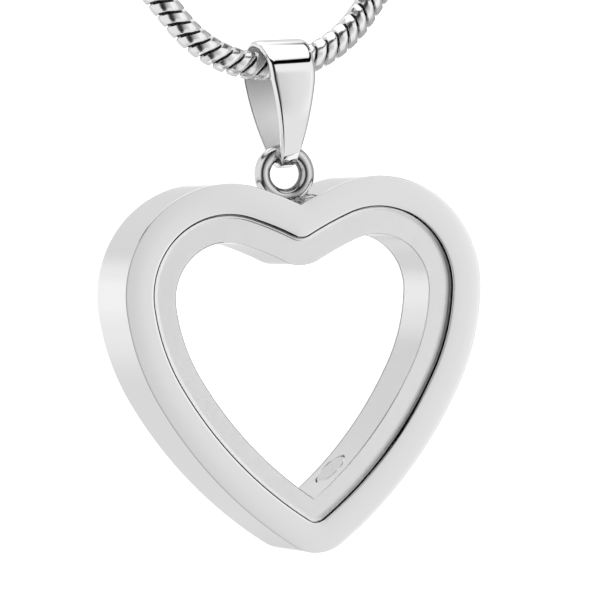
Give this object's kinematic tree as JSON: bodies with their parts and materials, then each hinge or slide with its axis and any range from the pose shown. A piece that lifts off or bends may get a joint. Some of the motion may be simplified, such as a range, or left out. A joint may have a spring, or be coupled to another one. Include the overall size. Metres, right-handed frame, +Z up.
{
  "type": "keepsake urn pendant with chain",
  "caption": "Polished heart locket with a clear pane on each face and a fill screw in its edge, hung from a tapered bail on a closed round snake chain.",
  "frame": {"origin": "at the nape, on the underside of the clasp in the middle of the closed necklace", "axes": "+Z up, -Y the way the heart's front faces, +X to the right as the front is seen; the necklace lies in the XZ plane"},
  "size_m": [0.15, 0.0064, 0.2188],
  "materials": {
    "polished_steel": "mirror polished stainless steel",
    "satin_steel": "satin stainless steel",
    "chain_steel": "bright stainless steel rings",
    "clear_pane": "clear polished pane with a ground edge"
  },
  "bodies": {
    "necklace": {"chain": "chain_steel", "clasp": "polished_steel"},
    "bail": {"bail": "polished_steel"},
    "heart": {"heart_case": "polished_steel", "front_pane": "clear_pane", "back_pane": "clear_pane"},
    "screw": {"fill_screw": "satin_steel"}
  },
  "joints": [
    {"name": "bail_swing", "type": "hinge", "parent": "necklace", "child": "bail", "pos_m": [0.0005, 0, -0.17667], "axis": [1, 0, 0], "range_deg": [-75, 75]},
    {"name": "pendant_swing", "type": "hinge", "parent": "bail", "child": "heart", "pos_m": [0.0005, 0, -0.18341], "axis": [1, 0, 0], "range_deg": [-75, 75]},
    {"name": "fill_screw_slide", "type": "slide", "parent": "heart", "child": "screw", "axis": [0.6626, 0, -0.749], "range_m": [0, 0.006]}
  ]
}
